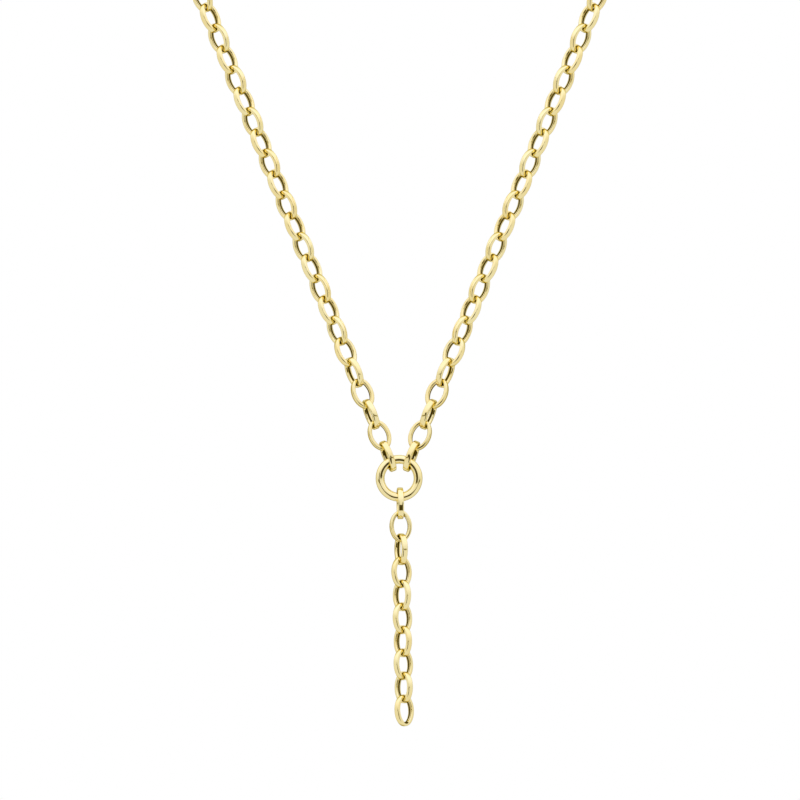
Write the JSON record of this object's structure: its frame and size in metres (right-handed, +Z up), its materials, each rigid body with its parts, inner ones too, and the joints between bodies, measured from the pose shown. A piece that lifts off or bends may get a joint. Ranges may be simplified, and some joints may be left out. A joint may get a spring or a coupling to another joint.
{
  "type": "y necklace",
  "caption": "Chunky yellow-gold Y necklace of oval belcher links whose two sides meet on a plain round ring, with a short drop of the same links under it.",
  "frame": {"origin": "the nape, in the middle of the clasp, where the necklace sits on the back of the neck", "axes": "+Z up, +Y towards the wearer's back, away from the viewer of the V, +X to the viewer's right; the drop hangs down -Z"},
  "size_m": [0.118, 0.0801, 0.228],
  "materials": {
    "gold": "polished pale yellow gold plate"
  },
  "bodies": {
    "root": {"neck_chain_left": "gold", "neck_chain_right": "gold", "centre_ring": "gold", "drop_link_01": "gold", "drop_link_02": "gold", "drop_link_03": "gold", "drop_link_04": "gold", "drop_link_05": "gold", "drop_link_06": "gold", "drop_link_07": "gold", "drop_link_08": "gold", "drop_link_09": "gold", "drop_link_10": "gold", "clasp": "gold"}
  },
  "joints": []
}
